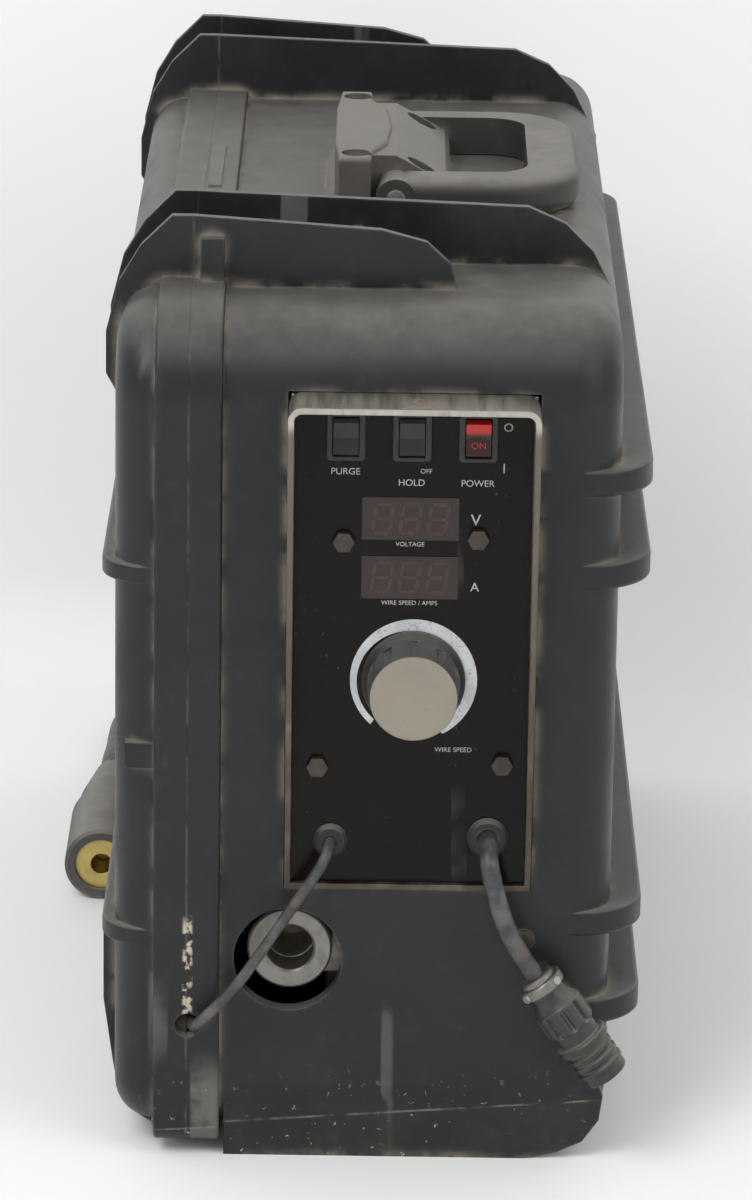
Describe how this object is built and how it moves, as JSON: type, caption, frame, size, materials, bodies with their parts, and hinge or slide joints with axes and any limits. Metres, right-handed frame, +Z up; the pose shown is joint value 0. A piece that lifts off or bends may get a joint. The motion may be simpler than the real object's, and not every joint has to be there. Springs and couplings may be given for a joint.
{
  "type": "wire feeder",
  "caption": "Portable suitcase wire feeder with a guarded control panel, hinged side door, folding handle, geared drive rolls, spool hub and cable leads.",
  "frame": {"origin": "on the floor under the middle of the case", "axes": "+X to the right of the control panel, +Y to the rear, +Z up"},
  "size_m": [0.261, 0.6389, 0.4],
  "materials": {
    "case_plastic": "satin moulded polypropylene, scuffed and dusty",
    "seal_rubber": "soft sponge rubber",
    "zinc_steel": "zinc plated",
    "latch_pad": "worn pale pad",
    "bracket_cast": "warm grey painted casting",
    "handle_rubber": "dusty moulded rubber",
    "stainless": "brushed stainless sheet",
    "label_black": "gloss black overlay",
    "switch_black": "moulded nylon",
    "power_rocker": "red translucent rocker",
    "display_window": "dark red filter window",
    "board_green": "circuit board",
    "knob_black": "fluted phenolic",
    "knob_cap": "beige cap",
    "grommet_rubber": "rubber grommet",
    "cable_grey": "grey PVC jacket",
    "cable_black": "rubber welding cable",
    "plug_metal": "clamp",
    "plug_plastic": "moulded plug shell",
    "boot_rubber": "moulded rubber boot",
    "brass": "worn brass",
    "valve_brass": "brass valve body",
    "copper": "copper bar",
    "cast_aluminium": "as-cast aluminium",
    "motor_paint": "black painted motor",
    "gear_steel": "machined steel",
    "spring_steel": "spring wire",
    "plate_steel": "grey painted sheet",
    "hub_plastic": "moulded nylon"
  },
  "bodies": {
    "case": {"base_case": "case_plastic", "hinge_pins": "zinc_steel", "latch_spring": "latch_pad", "handle_bracket": "bracket_cast", "handle_screws": "zinc_steel", "handle_pin": "zinc_steel", "control_panel": "stainless", "panel_label": "label_black", "panel_screws": "zinc_steel", "switch_frames": "switch_black", "voltage_display": "display_window", "speed_display": "display_window", "display_board": "board_green", "potentiometer": "zinc_steel", "sense_grommet": "grommet_rubber", "trigger_grommet": "grommet_rubber", "sense_lead": "cable_grey", "trigger_cable": "cable_grey", "plug_clamp": "plug_metal", "plug_body": "plug_plastic", "plug_ring": "plug_plastic", "weld_cable": "cable_black", "connector_boot": "boot_rubber", "connector_contact": "brass", "gun_block": "cast_aluminium", "drive_housing": "cast_aluminium", "gearbox": "cast_aluminium", "drive_motor": "motor_paint", "roll_axles": "zinc_steel", "arm_pins": "zinc_steel", "wire_guides": "brass", "inner_plate": "plate_steel", "case_screws": "zinc_steel", "power_board": "board_green", "hub_spindle": "zinc_steel", "gas_inlet": "brass", "gas_valve": "valve_brass", "weld_gland": "boot_rubber", "current_strap": "copper"},
    "door": {"door": "case_plastic", "door_seal": "seal_rubber"},
    "handle": {"handle": "handle_rubber"},
    "purge_rocker": {"purge_rocker": "switch_black"},
    "hold_rocker": {"hold_rocker": "switch_black"},
    "power_rocker": {"power_rocker": "power_rocker"},
    "speed_knob": {"speed_knob": "knob_black", "knob_cap": "knob_cap"},
    "drive_gear": {"drive_gear": "gear_steel"},
    "drive_roll_front": {"drive_roll_front": "gear_steel"},
    "drive_roll_rear": {"drive_roll_rear": "gear_steel"},
    "pressure_arm": {"pressure_arm": "cast_aluminium", "idle_axles": "zinc_steel"},
    "idle_roll_front": {"idle_roll_front": "gear_steel"},
    "idle_roll_rear": {"idle_roll_rear": "gear_steel"},
    "tension_rod": {"tension_rod": "zinc_steel", "pressure_spring": "spring_steel"},
    "tension_knob": {"tension_knob": "knob_black"},
    "spool_hub": {"spool_hub": "hub_plastic"},
    "hub_knob": {"hub_knob": "knob_black"},
    "gun_clamp_knob": {"gun_clamp_knob": "knob_black"}
  },
  "joints": [
    {"name": "door_hinge", "type": "hinge", "parent": "case", "child": "door", "pos_m": [-0.078, 0.01, 0.0055], "axis": [0, -1, 0], "range_deg": [0, 90], "deforming": ["weld_cable", "connector_boot", "connector_contact"]},
    {"name": "handle_swing", "type": "hinge", "parent": "case", "child": "handle", "pos_m": [0.006, 0, 0.379], "axis": [0, -1, 0], "range_deg": [0, 95]},
    {"name": "speed_turn", "type": "hinge", "parent": "case", "child": "speed_knob", "pos_m": [0.016, -0.25, 0.2147], "axis": [0, -1, 0], "range_deg": [-150, 150]},
    {"name": "purge_press", "type": "hinge", "parent": "case", "child": "purge_rocker", "pos_m": [-0.0134, -0.2378, 0.32], "axis": [1, 0, 0], "range_deg": [0, 6], "stiffness_Nm_per_rad": 0.2},
    {"name": "hold_rock", "type": "hinge", "parent": "case", "child": "hold_rocker", "pos_m": [0.0139, -0.2378, 0.32], "axis": [1, 0, 0], "range_deg": [-6, 6]},
    {"name": "power_rock", "type": "hinge", "parent": "case", "child": "power_rocker", "pos_m": [0.0412, -0.2378, 0.32], "axis": [1, 0, 0], "range_deg": [-6, 6]},
    {"name": "drive_spin", "type": "hinge", "parent": "case", "child": "drive_gear", "pos_m": [-0.025, -0.124, 0.06103], "axis": [1, 0, 0], "continuous": true},
    {"name": "roll_front_spin", "type": "hinge", "parent": "case", "child": "drive_roll_front", "pos_m": [-0.03, -0.15, 0.076], "axis": [1, 0, 0], "continuous": true},
    {"name": "roll_rear_spin", "type": "hinge", "parent": "case", "child": "drive_roll_rear", "pos_m": [-0.03, -0.098, 0.076], "axis": [1, 0, 0], "continuous": true},
    {"name": "tension_tilt", "type": "hinge", "parent": "case", "child": "tension_rod", "pos_m": [-0.0465, -0.178, 0.084], "axis": [0, -1, 0], "range_deg": [0, 28.5]},
    {"name": "tension_turn", "type": "hinge", "parent": "tension_rod", "child": "tension_knob", "pos_m": [-0.0465, -0.178, 0.17], "axis": [0, 0, 1], "continuous": true},
    {"name": "arm_lift", "type": "hinge", "parent": "case", "child": "pressure_arm", "pos_m": [-0.0465, -0.062, 0.12], "axis": [-1, 0, 0], "range_deg": [0, 20], "deforming": ["pressure_spring"]},
    {"name": "idle_front_spin", "type": "hinge", "parent": "pressure_arm", "child": "idle_roll_front", "pos_m": [-0.035, -0.15, 0.1116], "axis": [1, 0, 0], "continuous": true},
    {"name": "idle_rear_spin", "type": "hinge", "parent": "pressure_arm", "child": "idle_roll_rear", "pos_m": [-0.035, -0.098, 0.1116], "axis": [1, 0, 0], "continuous": true},
    {"name": "hub_spin", "type": "hinge", "parent": "case", "child": "spool_hub", "pos_m": [-0.044, 0.095, 0.19], "axis": [1, 0, 0], "continuous": true},
    {"name": "hub_knob_turn", "type": "hinge", "parent": "case", "child": "hub_knob", "pos_m": [-0.092, 0.095, 0.19], "axis": [1, 0, 0], "continuous": true},
    {"name": "clamp_turn", "type": "hinge", "parent": "case", "child": "gun_clamp_knob", "pos_m": [-0.06, -0.204, 0.094], "axis": [1, 0, 0], "continuous": true}
  ],
  "couplings": [
    {"joint": "roll_front_spin", "follows": "drive_spin", "ratio": -0.66667},
    {"joint": "roll_rear_spin", "follows": "drive_spin", "ratio": -0.66667},
    {"joint": "arm_lift", "follows": "tension_tilt", "ratio": 0.7}
  ]
}
